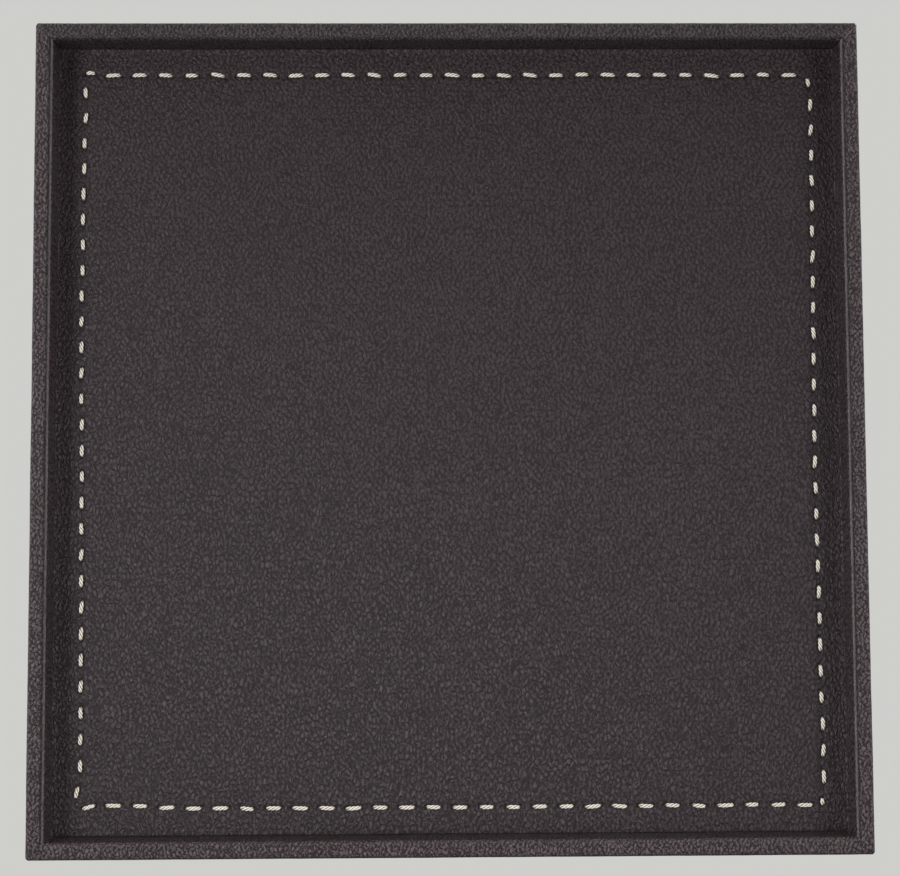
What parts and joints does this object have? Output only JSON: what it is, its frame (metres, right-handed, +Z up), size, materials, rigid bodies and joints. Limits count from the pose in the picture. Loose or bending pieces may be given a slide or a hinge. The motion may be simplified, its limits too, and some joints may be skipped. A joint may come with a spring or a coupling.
{
  "type": "square tray",
  "caption": "Shallow square desk or valet tray in dark brown grained leather over board, with a slim upright rim and a border of cream running stitches on its floor.",
  "frame": {"origin": "middle of the underside, on the surface that the tray stands on", "axes": "+Z up out of the well, -Y towards the front, +X towards the right wall"},
  "size_m": [0.2, 0.2, 0.0139],
  "materials": {
    "tray_leather": "fine pebbled grain, semi-matt, dark brown",
    "thread": "waxed cream linen",
    "felt": "pressed felt",
    "board": "uncoated grey fibre board",
    "suede": "napped suede"
  },
  "bodies": {
    "root": {"rim_leather": "tray_leather", "floor_leather": "tray_leather", "stitching_front": "thread", "stitching_back": "thread", "stitching_left": "thread", "stitching_right": "thread", "floor_padding": "felt", "base_board": "board", "wall_board_front": "board", "wall_board_back": "board", "wall_board_left": "board", "wall_board_right": "board", "base_cover": "suede"}
  },
  "joints": []
}
